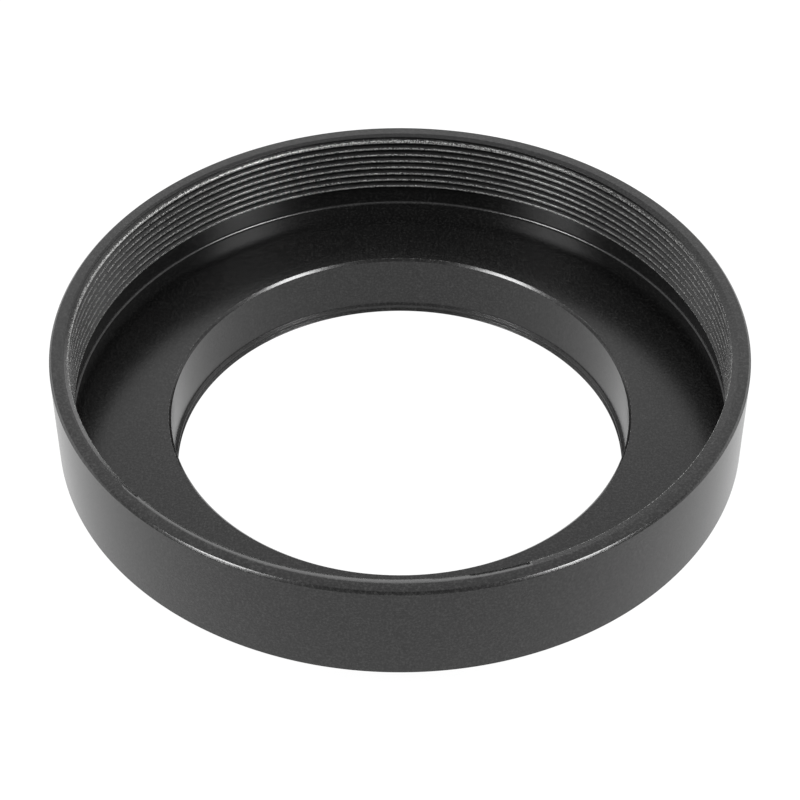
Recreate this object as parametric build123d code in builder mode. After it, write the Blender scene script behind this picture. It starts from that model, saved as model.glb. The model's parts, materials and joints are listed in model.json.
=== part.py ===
"""Screw-in lens hood: a front barrel with a filter thread, pressed over a mount cup.

The axis is Z. The origin is on the axis, at the end of the lens collar, and +Z runs towards the
wide mouth. Both pieces are turned aluminium.
"""

import os

from build123d import *

# Heights along the axis, millimetres
total_height = 14.8  # collar end to front rim
drum_height = 9.7  # outside of the drum
floor_depth = 8.4  # front rim to the cup's floor
thread_depth = 6.0  # front rim to the end of the front thread

# Drum
drum_radius = 30.25
mouth_radius = 29.18  # inner edge of the flat rim
bevel_depth = 0.15  # shallow lead-in from the rim to the thread crests
rim_chamfer = 0.2
base_chamfer = 0.4
seat_radius = 29.7  # where the barrel is pressed over the cup
seam_chamfer = 0.1  # breaks both edges of the seam under the drum
cup_wall_radius = 29.15  # smooth wall between the front thread and the floor
floor_fillet = 0.3

# Collar and light opening
bore_radius = 20.35
bore_chamfer = 0.22
shank_radius = 21.9
shank_height = 0.9  # plain part of the collar under the drum
shank_fillet = 0.25
relief_radius = 20.98
relief_width = 0.6  # runout groove between the lens thread and the shank
collar_lead_height = 0.2  # wide, low lead-in at the collar's end
collar_lead_radius = 21.05

# Ridges inside the collar's end
ridge_count = 2
ridge_spacing = 0.65
ridge_height = 0.22
ridge_width = 0.36
ridge_flat = 0.08
first_ridge_z = ridge_width / 2  # its foot is the collar's inner end corner

# Threads, basic 60 degree profile, right hand
pitch = 0.75
thread_height = 0.541 * pitch  # radial, from root to crest
outer_flat = pitch / 8  # flat at the profile's larger radius
inner_flat = pitch / 4  # flat at its smaller radius
front_thread_radius = 29.0  # M58 x 0.75, female
front_thread_run_in = 0.46  # start of the helix below the end of the front thread, at +X
lens_thread_radius = 21.5  # M43 x 0.75, male
cutter_clearance = 0.04  # how far a thread cutter stands out of the metal
turns_per_pass = 1  # longer helical cuts can leave the metal whole without an error

# Derived places
rim_z = total_height
base_z = total_height - drum_height
floor_z = total_height - floor_depth
thread_end_z = total_height - thread_depth
shank_z = base_z - shank_height
relief_z = shank_z - relief_width
front_crest_radius = front_thread_radius - thread_height
lens_root_radius = lens_thread_radius - thread_height
level_margin = 0.01  # edges this close to a height count as lying at it


def thread_pass(open_radius, root_radius, open_width, root_width, start_z):
    """One stretch of helical groove, as a solid to cut away, from open_radius to root_radius."""
    depth = root_radius - open_radius
    tip = -cutter_clearance if depth > 0 else cutter_clearance
    flare = (open_width - root_width) / abs(depth) * cutter_clearance
    half_tip = (open_width + flare) / 2
    half_root = root_width / 2
    with BuildPart() as groove:
        with BuildLine() as path:
            Helix(pitch, pitch * turns_per_pass, open_radius, center=(0, 0, start_z))
        with BuildSketch(Plane(origin=path.line @ 0, x_dir=(1, 0, 0), z_dir=path.line % 0)):
            with BuildLine():
                Polyline(
                    (tip, -half_tip),
                    (depth, -half_root),
                    (depth, half_root),
                    (tip, half_tip),
                    close=True,
                )
            make_face()
        sweep(path=path.line, is_frenet=True)
    return groove.part


def thread_passes(start_z, end_z, **profile):
    """Grooves one above the other, so that the thread runs on from start_z past end_z."""
    passes = []
    z = start_z
    while z < end_z:
        passes.append(thread_pass(start_z=z, **profile))
        z += pitch * turns_per_pass
    return passes


front_thread = thread_passes(
    start_z=thread_end_z - front_thread_run_in,
    end_z=rim_z + pitch,
    open_radius=front_crest_radius,
    root_radius=front_thread_radius,
    open_width=pitch - inner_flat,
    root_width=outer_flat,
)
lens_thread = thread_passes(
    start_z=-pitch,
    end_z=relief_z,
    open_radius=lens_thread_radius,
    root_radius=lens_root_radius,
    open_width=pitch - outer_flat,
    root_width=inner_flat,
)

# Front barrel: the drum's outer wall, the threaded mouth, and the seat that fits over the cup.
with BuildPart() as front_barrel:
    with BuildSketch(Plane.XZ):
        with BuildLine():
            Polyline(
                (seat_radius, base_z),
                (drum_radius, base_z),
                (drum_radius, rim_z),
                (mouth_radius, rim_z),
                (front_crest_radius, rim_z - bevel_depth),
                (front_crest_radius, thread_end_z),
                (seat_radius, thread_end_z),
                close=True,
            )
        make_face()
    revolve(axis=Axis.Z)
    rim_edges = front_barrel.edges().filter_by(GeomType.CIRCLE).group_by(Axis.Z)[-1]
    chamfer(rim_edges.sort_by(SortBy.RADIUS)[-1], length=rim_chamfer)
    base_circles = front_barrel.edges().filter_by(GeomType.CIRCLE).group_by(Axis.Z)[0]
    base_edges = base_circles.sort_by(SortBy.RADIUS)
    chamfer(base_edges[-1], length=base_chamfer)
    chamfer(base_edges[0], length=seam_chamfer)
    for groove in front_thread:
        add(groove, mode=Mode.SUBTRACT)
front_barrel.part.label = "front_barrel"

# Mount cup: smooth wall, floor with the light opening, and the collar with the lens thread.
with BuildPart() as mount_cup:
    with BuildSketch(Plane.XZ):
        with BuildLine():
            Polyline(
                (bore_radius, 0),
                (collar_lead_radius, 0),
                (lens_thread_radius, collar_lead_height),
                (lens_thread_radius, relief_z),
                (relief_radius, relief_z),
                (relief_radius, shank_z),
                (shank_radius, shank_z),
                (shank_radius, base_z),
                (seat_radius, base_z),
                (seat_radius, thread_end_z),
                (cup_wall_radius, thread_end_z),
                (cup_wall_radius, floor_z),
                (bore_radius, floor_z),
                close=True,
            )
        make_face()
        for index in range(ridge_count):
            ridge_z = first_ridge_z + index * ridge_spacing
            with BuildLine():
                Polyline(
                    (bore_radius + ridge_height, ridge_z - ridge_width / 2),
                    (bore_radius, ridge_z - ridge_width / 2),
                    (bore_radius - ridge_height, ridge_z - ridge_flat / 2),
                    (bore_radius - ridge_height, ridge_z + ridge_flat / 2),
                    (bore_radius, ridge_z + ridge_width / 2),
                    (bore_radius + ridge_height, ridge_z + ridge_width / 2),
                    close=True,
                )
            make_face()
    revolve(axis=Axis.Z)
    circles = mount_cup.edges().filter_by(GeomType.CIRCLE)
    floor_circles = circles.filter_by_position(Axis.Z, floor_z - level_margin, floor_z + level_margin)
    floor_edges = floor_circles.sort_by(SortBy.RADIUS)
    chamfer(floor_edges[0], length=bore_chamfer)
    fillet(floor_edges[-1], radius=floor_fillet)
    circles = mount_cup.edges().filter_by(GeomType.CIRCLE)
    base_circles = circles.filter_by_position(Axis.Z, base_z - level_margin, base_z + level_margin)
    base_edges = base_circles.sort_by(SortBy.RADIUS)
    fillet(base_edges[0], radius=shank_fillet)
    chamfer(base_edges[-1], length=seam_chamfer)
    for groove in lens_thread:
        add(groove, mode=Mode.SUBTRACT)
mount_cup.part.label = "mount_cup"

os.makedirs("parts", exist_ok=True)
export_step(front_barrel.part, "parts/front_barrel.step")
export_step(mount_cup.part, "parts/mount_cup.step")

for piece in (front_barrel, mount_cup):
    print(piece.part.label, round(piece.part.volume, 2), "mm3,", len(piece.part.faces()), "faces")
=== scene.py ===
"""Looks of the screw-in lens hood: two turned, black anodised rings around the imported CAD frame.

Outlines are worked out in millimetres, in the half plane of radius and height beside the axis Z.
Meshes, lights and the camera are in metres.
"""

import json
import math

import bmesh
import bpy
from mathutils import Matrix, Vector


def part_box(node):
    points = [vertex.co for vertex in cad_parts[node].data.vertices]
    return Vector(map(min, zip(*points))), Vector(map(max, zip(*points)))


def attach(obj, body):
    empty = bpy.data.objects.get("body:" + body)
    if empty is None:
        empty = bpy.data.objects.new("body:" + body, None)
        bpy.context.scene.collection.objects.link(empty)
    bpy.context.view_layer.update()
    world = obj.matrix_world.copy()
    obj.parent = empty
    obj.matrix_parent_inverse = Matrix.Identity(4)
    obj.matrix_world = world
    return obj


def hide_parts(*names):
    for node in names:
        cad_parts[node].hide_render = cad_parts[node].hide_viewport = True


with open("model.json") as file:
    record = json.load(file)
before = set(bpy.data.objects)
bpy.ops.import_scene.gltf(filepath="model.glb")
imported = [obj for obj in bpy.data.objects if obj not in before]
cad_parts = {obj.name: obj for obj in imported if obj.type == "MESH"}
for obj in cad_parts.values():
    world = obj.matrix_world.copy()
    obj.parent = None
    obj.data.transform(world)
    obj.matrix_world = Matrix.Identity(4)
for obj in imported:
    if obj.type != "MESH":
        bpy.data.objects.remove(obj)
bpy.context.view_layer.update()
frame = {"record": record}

MM = 0.001
TURN = 2 * math.pi
COLUMNS = 480  # steps round the axis
ARC_STEPS = 4  # steps in each rounded corner
MERGE_DISTANCE = 1e-7  # metres
SHARP_ANGLE = math.radians(40)  # edges that turn further are shaded as sharp

# Places and sizes from the frame, millimetres
mounts = {mount["name"]: mount for mount in frame["record"]["mounts"]}
barrel_low, barrel_high = (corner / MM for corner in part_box("front_barrel"))
_, cup_high = (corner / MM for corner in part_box("mount_cup"))
DRUM_RADIUS = barrel_high.x
RIM_Z = barrel_high.z
BASE_Z = barrel_low.z
SEAT_RADIUS = cup_high.x
THREAD_END_Z = cup_high.z
FRONT_CREST_RADIUS = mounts["front_thread"]["dims"]["r_mm"]
LENS_THREAD_RADIUS = mounts["lens_thread"]["dims"]["r_mm"]
BORE_RADIUS = mounts["light_bore"]["dims"]["r_mm"]

# Turned details of the drum and the floor in it, millimetres
MOUTH_RADIUS = 29.18  # inner edge of the flat rim
BEVEL_DEPTH = 0.15  # from the rim to the thread crests
RIM_CHAMFER = 0.2
BASE_CHAMFER = 0.4
SEAM_CHAMFER = 0.1
CUP_WALL_RADIUS = 29.15
FLOOR_DEPTH = 8.4
FLOOR_FILLET = 0.3
FLOOR_Z = RIM_Z - FLOOR_DEPTH

# Turned details of the collar, millimetres
BORE_CHAMFER = 0.22
SHANK_RADIUS = 21.9
SHANK_HEIGHT = 0.9
SHANK_FILLET = 0.25
RELIEF_RADIUS = 20.98
RELIEF_WIDTH = 0.6  # runout groove between the lens thread and the shank
LEAD_HEIGHT = 0.2  # wide, low lead-in at the collar's end
LEAD_RADIUS = 21.05
SHANK_Z = BASE_Z - SHANK_HEIGHT
RELIEF_Z = SHANK_Z - RELIEF_WIDTH
RIDGE_HEIGHT = 0.22
RIDGE_WIDTH = 0.36
RIDGE_FLAT = 0.08
RIDGE_SPACING = 0.65
LOWER_RIDGE = RIDGE_WIDTH / 2
UPPER_RIDGE = LOWER_RIDGE + RIDGE_SPACING

# Threads, millimetres
PITCH = 0.75
THREAD_HEIGHT = 0.541 * PITCH
OUTER_FLAT = PITCH / 8  # flat at the profile's larger radius
INNER_FLAT = PITCH / 4  # flat at its smaller radius
FRONT_THREAD_RUN_IN = 0.46  # start of the helix below the thread's end, at +X
FRONT_ROOT_RADIUS = FRONT_CREST_RADIUS + THREAD_HEIGHT
LENS_ROOT_RADIUS = LENS_THREAD_RADIUS - THREAD_HEIGHT

# How far the tumbled and anodised corners are rounded, millimetres
WIDE_FLAT_ROUND = 0.12  # on the threads' wide flats, inside
NARROW_FLAT_ROUND = 0.03  # on their narrow flats, outside
RIDGE_ROUND = 0.03
EDGE_ROUND = 0.04
DRUM_ROUND = 0.06

# Patterns of the metal's surface: how fine they are, and how many finer layers each one has
MARKS_PER_METRE, MARKS_DETAIL = 9000, 3
GRAIN_PER_METRE, GRAIN_DETAIL = 5500, 2
CLOUDS_PER_METRE, CLOUDS_DETAIL = 90, 4
SPECKS_PER_METRE, SPECKS_DETAIL = 11000, 3
MARK_DRIFT = 2.5  # radius, in the tool marks' pattern, of one turn round the axis
CLOUD_ROUGHNESS = 0.03  # added or taken away
GRAIN_ROUGHNESS = 0.04

# Black anodic layer, and the metal under it
DYE_DARK = (0.0018, 0.0018, 0.0019)
DYE_LIGHT = (0.0032, 0.0031, 0.0031)
DYE_SPECK = (0.012, 0.012, 0.0117)
SPECK_RANGE = (0.5, 0.75)  # of the grain: plain dye up to the first, pale dye from the second
ANODIC_IOR = 1.465
GLOSS_RANGE = (0.28, 0.72)  # specular level, from the grain's lowest to its highest
BARE_METAL = (0.6, 0.6, 0.59)
BARE_RANGE = (0.95, 1.25)  # of specks and wear: dyed up to the first, bare from the second
BARE_ROUGHNESS = 0.3

# Worn places: radius and height (None is any), how far the wear reaches, and how heavy it is
MOUTH_WEAR_DEPTH = 0.3  # below the bevel
BARREL_WEAR = [
    (FRONT_CREST_RADIUS, None, 0.14, 0.53),
    (FRONT_CREST_RADIUS, RIM_Z - BEVEL_DEPTH - MOUTH_WEAR_DEPTH, 0.5, 0.62),
    (DRUM_RADIUS, BASE_Z + BASE_CHAMFER, 0.06, 0.45),
]
CUP_WEAR = [
    (LENS_THREAD_RADIUS, RELIEF_Z / 2, RELIEF_Z / 2, 0.45),
    (BORE_RADIUS + BORE_CHAMFER, FLOOR_Z, 0.05, 0.45),
]

# Light of the room: the sine of the elevation, and the light's strength there
ROOM_LIGHT = [
    (0.30, 2.2),
    (0.40, 0.5),
    (0.47, 0.5),
    (0.54, 1.8),
    (0.64, 1.6),
    (0.70, 1.1),
    (0.80, 1.0),
    (0.95, 0.9),
]
FRONT_SHARE = 0.35  # of that light, left in front of the hood
FRONT_Y = -0.5  # the light's direction along Y, up to where it is dimmed in full
OPEN_Y = 0.2  # and from where it isn't dimmed at all
SOFTBOX_DISTANCE = 0.6

SENSOR_WIDTH = 36  # millimetres
CLIP_START = 0.01


# Outlines

def rounded(corners):
    """An outline through (radius, height, rounding) corners, with an arc at each rounded one."""
    points = []
    for index, (radius, height, rounding) in enumerate(corners):
        corner = Vector((radius, height))
        if rounding == 0:
            points.append(tuple(corner))
            continue
        before = (Vector(corners[index - 1][:2]) - corner).normalized()
        after = (Vector(corners[(index + 1) % len(corners)][:2]) - corner).normalized()
        half = before.angle(after) / 2
        centre = corner + (before + after).normalized() * (rounding / math.sin(half))
        start = corner + before * (rounding / math.tan(half)) - centre
        swing = start.angle_signed(corner + after * (rounding / math.tan(half)) - centre)
        for step in range(ARC_STEPS + 1):
            turn = -swing * step / ARC_STEPS
            points.append((
                centre.x + start.x * math.cos(turn) - start.y * math.sin(turn),
                centre.y + start.x * math.sin(turn) + start.y * math.cos(turn),
            ))
    return points


def thread_period(near, far):
    """One pitch of thread outline, from its groove's middle up.

    The near and far ends of the groove each have a radius, a width and a rounding.
    """
    near_radius, near_width, near_round = near
    far_radius, far_width, far_round = far
    corners = [
        (far_radius, 0, 0),
        (far_radius, far_width / 2, far_round),
        (near_radius, near_width / 2, near_round),
        (near_radius, PITCH - near_width / 2, near_round),
        (far_radius, PITCH - far_width / 2, far_round),
        (far_radius, PITCH, 0),
    ]
    return rounded(corners)[:-1]


def crossing(start, end, inside):
    """The point between start and end where the function inside falls to zero."""
    share = inside(*start) / (inside(*start) - inside(*end))
    return tuple(a + (b - a) * share for a, b in zip(start, end))


def cut_off(points, inside):
    """The points up to where inside falls below zero, with the others all moved to that place.

    Their number stays the same, so that neighbouring outlines can be joined point by point.
    """
    for index in range(1, len(points)):
        if inside(*points[index]) < 0:
            edge = crossing(points[index - 1], points[index], inside)
            return points[:index] + [edge] * (len(points) - index)
    return points


def helix(period, start_z, first_turn, end_turn):
    """A function of the angle giving a thread's outline there, one period above the other."""
    def outline(angle):
        rise = start_z + PITCH * angle / TURN
        return [
            (radius, rise + turn * PITCH + height)
            for turn in range(first_turn, end_turn)
            for radius, height in period
        ]
    return outline


front_helix = helix(
    thread_period(
        near=(FRONT_CREST_RADIUS, PITCH - INNER_FLAT, WIDE_FLAT_ROUND),
        far=(FRONT_ROOT_RADIUS, OUTER_FLAT, NARROW_FLAT_ROUND),
    ),
    start_z=THREAD_END_Z - FRONT_THREAD_RUN_IN,
    first_turn=-2,
    end_turn=9,
)
lens_helix = helix(
    thread_period(
        near=(LENS_THREAD_RADIUS, PITCH - OUTER_FLAT, NARROW_FLAT_ROUND),
        far=(LENS_ROOT_RADIUS, INNER_FLAT, WIDE_FLAT_ROUND),
    ),
    start_z=-PITCH,
    first_turn=-1,
    end_turn=7,
)


def above_thread_end(radius, height):
    return height - THREAD_END_Z


def below_bevel(radius, height):
    slope = BEVEL_DEPTH / (MOUTH_RADIUS - FRONT_CREST_RADIUS)
    return RIM_Z - (MOUTH_RADIUS - radius) * slope - height


def above_lead(radius, height):
    slope = LEAD_HEIGHT / (LENS_THREAD_RADIUS - LEAD_RADIUS)
    return height - (radius - LEAD_RADIUS) * slope


def below_relief(radius, height):
    return RELIEF_Z - height


def front_thread_outline(angle):
    """The thread in the mouth, from its end up to the bevel under the rim."""
    upward = cut_off(front_helix(angle), below_bevel)
    return cut_off(upward[::-1], above_thread_end)[::-1]


def lens_thread_outline(angle):
    """The thread on the collar, from the lead at its end up to the relief."""
    upward = cut_off(lens_helix(angle), below_relief)
    return cut_off(upward[::-1], above_lead)[::-1]


def ridge_corners(centre):
    """A ridge round the inside of the collar, going down."""
    return [
        (BORE_RADIUS, centre + RIDGE_WIDTH / 2, RIDGE_ROUND),
        (BORE_RADIUS - RIDGE_HEIGHT, centre + RIDGE_FLAT / 2, RIDGE_ROUND),
        (BORE_RADIUS - RIDGE_HEIGHT, centre - RIDGE_FLAT / 2, RIDGE_ROUND),
        (BORE_RADIUS, centre - RIDGE_WIDTH / 2, RIDGE_ROUND),
    ]


# The rest of each outline, on from the top of its thread
BARREL_REST = rounded([
    (FRONT_CREST_RADIUS, RIM_Z - BEVEL_DEPTH, 0),
    (MOUTH_RADIUS, RIM_Z, EDGE_ROUND),
    (DRUM_RADIUS - RIM_CHAMFER, RIM_Z, DRUM_ROUND),
    (DRUM_RADIUS, RIM_Z - RIM_CHAMFER, DRUM_ROUND),
    (DRUM_RADIUS, BASE_Z + BASE_CHAMFER, DRUM_ROUND),
    (DRUM_RADIUS - BASE_CHAMFER, BASE_Z, DRUM_ROUND / 2),
    (SEAT_RADIUS + SEAM_CHAMFER, BASE_Z, EDGE_ROUND / 2),
    (SEAT_RADIUS, BASE_Z + SEAM_CHAMFER, EDGE_ROUND / 2),
    (SEAT_RADIUS, THREAD_END_Z, 0),
    (FRONT_CREST_RADIUS, THREAD_END_Z, 0),
])[1:-1]
CUP_REST = rounded([
    (LENS_THREAD_RADIUS, RELIEF_Z, 0),
    (RELIEF_RADIUS, RELIEF_Z, EDGE_ROUND),
    (RELIEF_RADIUS, SHANK_Z, EDGE_ROUND),
    (SHANK_RADIUS, SHANK_Z, EDGE_ROUND),
    (SHANK_RADIUS, BASE_Z, SHANK_FILLET),
    (SEAT_RADIUS - SEAM_CHAMFER, BASE_Z, EDGE_ROUND / 2),
    (SEAT_RADIUS, BASE_Z + SEAM_CHAMFER, EDGE_ROUND / 2),
    (SEAT_RADIUS, THREAD_END_Z, 0),
    (CUP_WALL_RADIUS, THREAD_END_Z, EDGE_ROUND),
    (CUP_WALL_RADIUS, FLOOR_Z, FLOOR_FILLET),
    (BORE_RADIUS + BORE_CHAMFER, FLOOR_Z, EDGE_ROUND),
    (BORE_RADIUS, FLOOR_Z - BORE_CHAMFER, EDGE_ROUND),
    *ridge_corners(UPPER_RIDGE),
    *ridge_corners(LOWER_RIDGE)[:-1],
    (BORE_RADIUS, 0, EDGE_ROUND),
    (LEAD_RADIUS, 0, 0),
])[1:-1]
CUP_END = [(LEAD_RADIUS, 0)]


def barrel_outline(angle):
    return front_thread_outline(angle) + BARREL_REST


def cup_outline(angle):
    return CUP_END + lens_thread_outline(angle) + CUP_REST


# Meshes

def placed(name, data):
    """A new object in the scene, with that data."""
    thing = bpy.data.objects.new(name, data)
    bpy.context.scene.collection.objects.link(thing)
    return thing


def turned_ring(name, outline):
    """A closed ring whose section at each angle is the outline there."""
    mesh = bpy.data.meshes.new(name)
    build = bmesh.new()
    columns = []
    for column in range(COLUMNS + 1):
        angle = TURN * column / COLUMNS
        across, along = math.cos(angle) * MM, math.sin(angle) * MM
        columns.append([
            build.verts.new((radius * across, radius * along, height * MM))
            for radius, height in outline(angle)
        ])
    for left, right in zip(columns, columns[1:]):
        for row in range(len(left)):
            build.faces.new((left[row - 1], left[row], right[row], right[row - 1]))
    bmesh.ops.remove_doubles(build, verts=build.verts, dist=MERGE_DISTANCE)
    bmesh.ops.dissolve_degenerate(build, edges=build.edges, dist=MERGE_DISTANCE)
    bmesh.ops.recalc_face_normals(build, faces=build.faces)
    for face in build.faces:
        face.smooth = True
    for edge in build.edges:
        edge.smooth = edge.calc_face_angle(0) < SHARP_ANGLE
    build.to_mesh(mesh)
    build.free()
    piece = placed(name, mesh)
    weighted = piece.modifiers.new("even_shading", "WEIGHTED_NORMAL")
    weighted.keep_sharp = True
    return piece


# Materials

class Nodes:
    """Short ways to add and join the nodes of a material or a world."""

    def __init__(self, owner):
        owner.use_nodes = True
        self.tree = owner.node_tree

    def add(self, kind):
        return self.tree.nodes.new(kind)

    def join(self, source, target):
        self.tree.links.new(source, target)

    def fill(self, socket, value):
        """Give a socket a number or a colour, or join it to the output of another node."""
        if isinstance(value, (int, float)):
            socket.default_value = value
        elif isinstance(value, tuple):
            socket.default_value = (*value, 1)
        else:
            self.join(value, socket)

    def math(self, operation, first, second=0.0):
        node = self.add("ShaderNodeMath")
        node.operation = operation
        self.fill(node.inputs[0], first)
        self.fill(node.inputs[1], second)
        return node.outputs[0]

    def split(self, vector):
        node = self.add("ShaderNodeSeparateXYZ")
        self.join(vector, node.inputs["Vector"])
        return node.outputs

    def vector(self, x, y, z):
        node = self.add("ShaderNodeCombineXYZ")
        for socket, value in zip(node.inputs, (x, y, z)):
            self.fill(socket, value)
        return node.outputs["Vector"]

    def noise(self, vector, scale, detail, fourth=None):
        node = self.add("ShaderNodeTexNoise")
        node.noise_dimensions = "4D" if fourth else "3D"
        node.inputs["Scale"].default_value = scale
        node.inputs["Detail"].default_value = detail
        self.join(vector, node.inputs["Vector"])
        if fourth:
            self.join(fourth, node.inputs["W"])
        return node.outputs["Fac"]

    def ramp(self, value, low, high, from_low=0.0, from_high=1.0):
        node = self.add("ShaderNodeMapRange")
        node.inputs["From Min"].default_value = from_low
        node.inputs["From Max"].default_value = from_high
        node.inputs["To Min"].default_value = low
        node.inputs["To Max"].default_value = high
        self.join(value, node.inputs["Value"])
        return node.outputs["Result"]

    def mixed(self, share, colour, other):
        """The colour, or as much of the other one as the share says."""
        node = self.add("ShaderNodeMix")
        node.data_type = "RGBA"
        self.fill(node.inputs["Factor"], share)
        self.fill(node.inputs["A"], colour)
        self.fill(node.inputs["B"], other)
        return node.outputs["Result"]

    def bump(self, height, distance, normal=None):
        node = self.add("ShaderNodeBump")
        node.inputs["Strength"].default_value = 1
        node.inputs["Distance"].default_value = distance
        self.join(height, node.inputs["Height"])
        if normal:
            self.join(normal, node.inputs["Normal"])
        return node.outputs["Normal"]


def tool_marks(nodes, x, y, z, radius):
    """Marks that are fine across the cut, and almost unchanging along it."""
    across = nodes.vector(
        nodes.math("MULTIPLY", radius, MARKS_PER_METRE),
        nodes.math("MULTIPLY", z, MARKS_PER_METRE),
        nodes.math("MULTIPLY", nodes.math("DIVIDE", x, radius), MARK_DRIFT),
    )
    along = nodes.math("MULTIPLY", nodes.math("DIVIDE", y, radius), MARK_DRIFT)
    return nodes.noise(across, 1, MARKS_DETAIL, fourth=along)


def wear(nodes, z, radius, worn_places):
    """How worn the surface is, from the edges that meet other parts and hands."""
    worn = 0.0
    for worn_radius, worn_height, reach, amount in worn_places:
        apart = nodes.math("ABSOLUTE", nodes.math("SUBTRACT", radius, worn_radius * MM))
        if worn_height is not None:
            lift = nodes.math("ABSOLUTE", nodes.math("SUBTRACT", z, worn_height * MM))
            apart = nodes.math("MAXIMUM", apart, lift)
        near = nodes.ramp(apart, amount, 0.0, 0.0, reach * MM)
        worn = nodes.math("MAXIMUM", near, worn)
    return worn


def anodised(name, roughness, mark_height, grain_height, worn_places):
    """Turned aluminium under a black anodic layer, with tool marks, fine grain and worn edges."""
    material = bpy.data.materials.new(name)
    nodes = Nodes(material)
    inputs = nodes.tree.nodes["Principled BSDF"].inputs
    place = nodes.add("ShaderNodeTexCoord").outputs["Object"]
    x, y, z = nodes.split(place)
    squares = nodes.math("ADD", nodes.math("MULTIPLY", x, x), nodes.math("MULTIPLY", y, y))
    radius = nodes.math("SQRT", squares)

    marks = tool_marks(nodes, x, y, z, radius)
    grain = nodes.noise(place, GRAIN_PER_METRE, GRAIN_DETAIL)
    clouds = nodes.noise(place, CLOUDS_PER_METRE, CLOUDS_DETAIL)
    specks = nodes.noise(place, SPECKS_PER_METRE, SPECKS_DETAIL)
    worn = wear(nodes, z, radius, worn_places)
    bare = nodes.ramp(nodes.math("ADD", specks, worn), 0.0, 1.0, *BARE_RANGE)

    dye = nodes.mixed(clouds, DYE_DARK, DYE_LIGHT)
    dusty = nodes.mixed(nodes.ramp(grain, 0.0, 1.0, *SPECK_RANGE), dye, DYE_SPECK)
    nodes.join(nodes.mixed(bare, dusty, BARE_METAL), inputs["Base Color"])
    nodes.join(bare, inputs["Metallic"])

    rough = nodes.math(
        "ADD",
        nodes.ramp(clouds, -CLOUD_ROUGHNESS, CLOUD_ROUGHNESS),
        nodes.ramp(grain, roughness - GRAIN_ROUGHNESS, roughness + GRAIN_ROUGHNESS),
    )
    matt = nodes.math("MULTIPLY", bare, BARE_ROUGHNESS)
    nodes.join(nodes.math("ADD", rough, matt), inputs["Roughness"])
    inputs["IOR"].default_value = ANODIC_IOR
    nodes.join(nodes.ramp(grain, *GLOSS_RANGE), inputs["Specular IOR Level"])
    turned = nodes.bump(marks, mark_height)
    nodes.join(nodes.bump(grain, grain_height, turned), inputs["Normal"])
    return material


barrel = turned_ring("drum_ring", barrel_outline)
barrel.data.materials.append(anodised(
    "drum_anodised", roughness=0.22, mark_height=2.0e-6, grain_height=4.5e-6,
    worn_places=BARREL_WEAR,
))
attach(barrel, "root")
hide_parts("front_barrel")

cup = turned_ring("cup_ring", cup_outline)
cup.data.materials.append(anodised(
    "cup_anodised", roughness=0.23, mark_height=1.2e-6, grain_height=2.0e-6,
    worn_places=CUP_WEAR,
))
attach(cup, "root")
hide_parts("mount_cup")


# Floor, light and camera

def white_floor(size, shade, glow):
    """A pale floor that gives off most of its own light. It can be seen through from below."""
    mesh = bpy.data.meshes.new("floor")
    half = size / 2
    corners = [(-half, -half, 0), (half, -half, 0), (half, half, 0), (-half, half, 0)]
    mesh.from_pydata(corners, [], [(0, 1, 2, 3)])
    floor = placed("floor", mesh)
    material = bpy.data.materials.new("floor_white")
    nodes = Nodes(material)
    shader = nodes.tree.nodes["Principled BSDF"]
    shader.inputs["Base Color"].default_value = (shade, shade, shade, 1)
    shader.inputs["Specular IOR Level"].default_value = 0
    shader.inputs["Roughness"].default_value = 1
    shader.inputs["Emission Color"].default_value = (1, 1, 1, 1)
    shader.inputs["Emission Strength"].default_value = glow
    clear = nodes.add("ShaderNodeBsdfTransparent")
    side = nodes.add("ShaderNodeNewGeometry")
    choice = nodes.add("ShaderNodeMixShader")
    nodes.join(side.outputs["Backfacing"], choice.inputs[0])
    nodes.join(shader.outputs["BSDF"], choice.inputs[1])
    nodes.join(clear.outputs["BSDF"], choice.inputs[2])
    surface = nodes.tree.nodes["Material Output"].inputs["Surface"]
    nodes.join(choice.outputs["Shader"], surface)
    mesh.materials.append(material)


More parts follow.
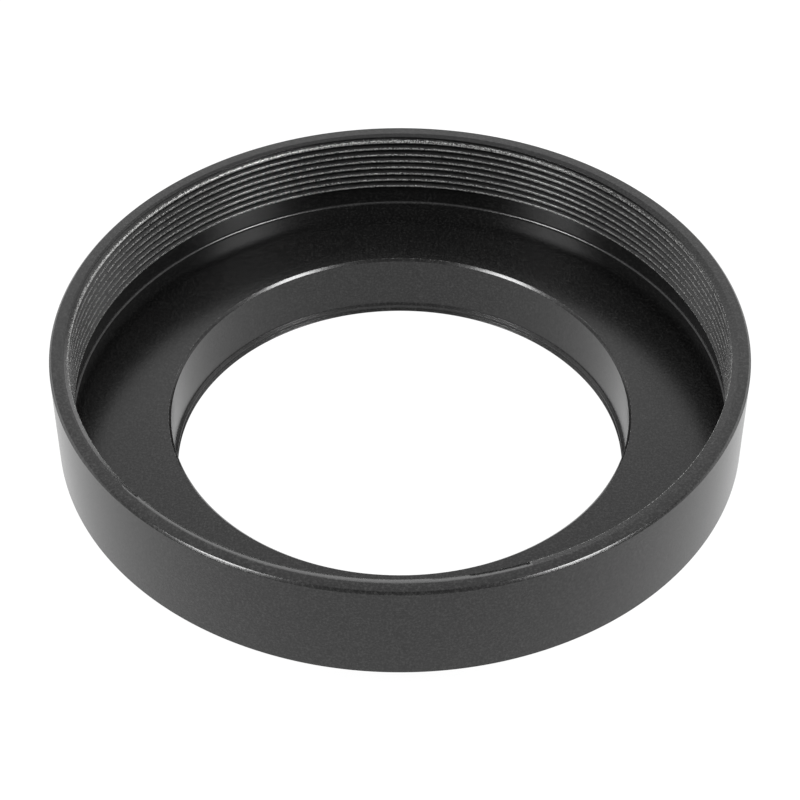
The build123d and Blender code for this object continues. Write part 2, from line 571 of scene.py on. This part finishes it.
def softbox(name, direction, width, depth, radiance):
    """An oval lamp that faces the hood from a direction, with its brightness as radiance."""
    light = bpy.data.lights.new(name, "AREA")
    light.shape = "ELLIPSE"
    light.size = width
    light.size_y = depth
    area = math.pi / 4 * width * depth
    light.energy = radiance * math.pi * area
    lamp = placed(name, light)
    toward = Vector(direction).normalized()
    lamp.location = toward * SOFTBOX_DISTANCE
    lamp.rotation_mode = "QUATERNION"
    lamp.rotation_quaternion = toward.to_track_quat("Z", "Y")
    lamp.visible_camera = False


def studio_world():
    """Plain walls and ceiling as bright as ROOM_LIGHT says, and dimmer in front of the hood."""
    world = bpy.data.worlds.new("studio")
    nodes = Nodes(world)
    background = nodes.tree.nodes["Background"]
    background.inputs["Color"].default_value = (1, 1, 1, 1)
    _, y, z = nodes.split(nodes.add("ShaderNodeTexCoord").outputs["Generated"])
    strength = ROOM_LIGHT[0][1]
    for (low, low_level), (high, high_level) in zip(ROOM_LIGHT, ROOM_LIGHT[1:]):
        change = nodes.ramp(z, 0.0, high_level - low_level, low, high)
        strength = nodes.math("ADD", change, strength)
    share = nodes.ramp(y, FRONT_SHARE, 1.0, FRONT_Y, OPEN_Y)
    nodes.join(nodes.math("MULTIPLY", strength, share), background.inputs["Strength"])
    bpy.context.scene.world = world


def photo_camera(location, pitch_down, lens):
    """The photo's view, along +Y and turned down by some degrees."""
    data = bpy.data.cameras.new("camera")
    data.lens = lens
    data.sensor_width = SENSOR_WIDTH
    data.clip_start = CLIP_START
    camera = placed("camera", data)
    camera.location = location
    camera.rotation_euler = (math.radians(90 - pitch_down), 0, 0)
    bpy.context.scene.camera = camera


white_floor(size=4, shade=0.06, glow=0.97)
studio_world()
softbox("softbox_right", direction=(0.62, -0.38, 0.69), width=0.2, depth=0.2, radiance=34)
softbox("softbox_left", direction=(-0.62, -0.38, 0.69), width=0.2, depth=0.2, radiance=33)
softbox("softbox_front", direction=(0, -0.88, 0.47), width=0.4, depth=0.08, radiance=2.2)
photo_camera(location=(0, -0.1495, 0.1462), pitch_down=42.952, lens=103.35)
bpy.context.scene.view_settings.view_transform = "Standard"
